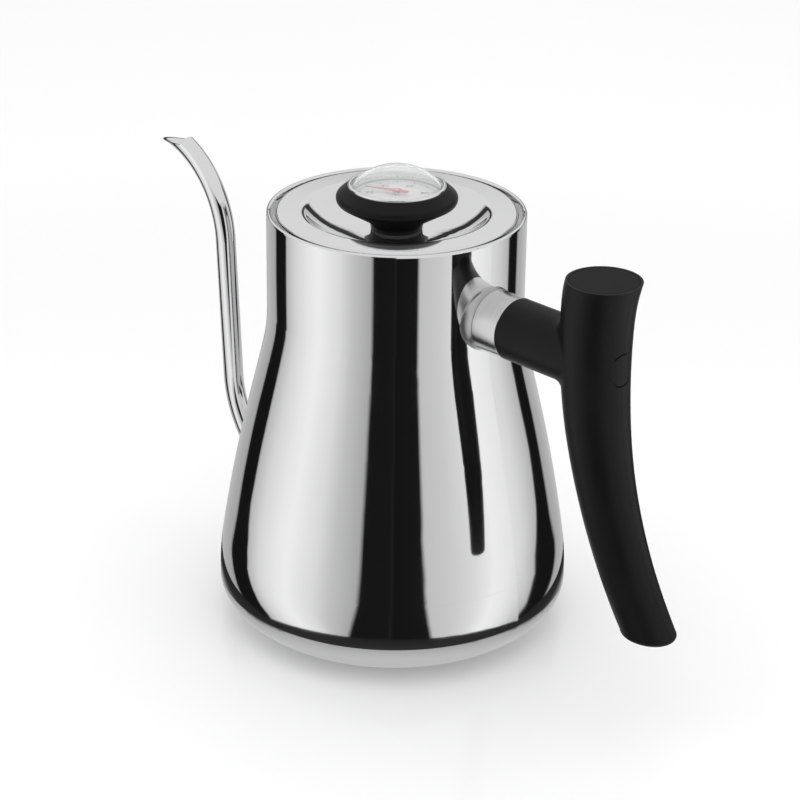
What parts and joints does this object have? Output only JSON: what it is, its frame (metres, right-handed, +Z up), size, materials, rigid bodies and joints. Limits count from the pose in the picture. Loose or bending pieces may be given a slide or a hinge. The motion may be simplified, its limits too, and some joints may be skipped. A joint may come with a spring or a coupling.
{
  "type": "gooseneck kettle",
  "caption": "Polished steel pour-over kettle with a slim gooseneck spout, an upright black grip on a steel stub, and a lift-off lid whose knob holds a dial thermometer.",
  "frame": {"origin": "on the body's axis, in the plane that the kettle stands on", "axes": "+Z up, +X towards the handle, so the spout points to -X, and +Y across"},
  "size_m": [0.2842, 0.1398, 0.188],
  "materials": {
    "polished_steel": "mirror polished",
    "brushed_steel": "fine turned brush",
    "inner_steel": "satin",
    "fastener_steel": "plain",
    "bezel_steel": "polished",
    "black_moulding": "satin",
    "black_cap": "fine circular brush",
    "silicone": "soft",
    "clear_lens": "clear",
    "dial_white": "printed",
    "pointer_red": "gloss",
    "bimetal": "rolled strip"
  },
  "bodies": {
    "kettle": {"body_shell": "polished_steel", "base_plate": "polished_steel", "mouth_collar": "polished_steel", "spout_tube": "polished_steel", "handle_boss": "brushed_steel", "handle_ferrule": "brushed_steel", "handle_grip": "black_moulding", "grip_top_cap": "black_cap", "grip_screw_plug": "black_moulding", "handle_screw": "fastener_steel", "handle_washer": "fastener_steel"},
    "lid": {"lid_cover": "polished_steel", "lid_pan": "inner_steel", "lid_seal": "silicone", "knob_gasket": "silicone", "knob": "black_moulding", "thermometer_case": "bezel_steel", "thermometer_lens": "clear_lens", "thermometer_bezel": "bezel_steel", "dial": "dial_white", "probe_bush": "fastener_steel", "probe_tube": "inner_steel", "lid_washer": "fastener_steel", "lid_nut": "fastener_steel", "bimetal_coil": "bimetal"},
    "needle": {"pointer": "pointer_red", "pointer_shaft": "fastener_steel"}
  },
  "joints": [
    {"name": "lid_lift", "type": "slide", "parent": "kettle", "child": "lid", "axis": [0, 0, 1], "range_m": [0, 0.12]},
    {"name": "pointer_turn", "type": "hinge", "parent": "lid", "child": "needle", "pos_m": [0, 0, 0.178], "axis": [0, 0, 1], "range_deg": [-159, 111]}
  ]
}
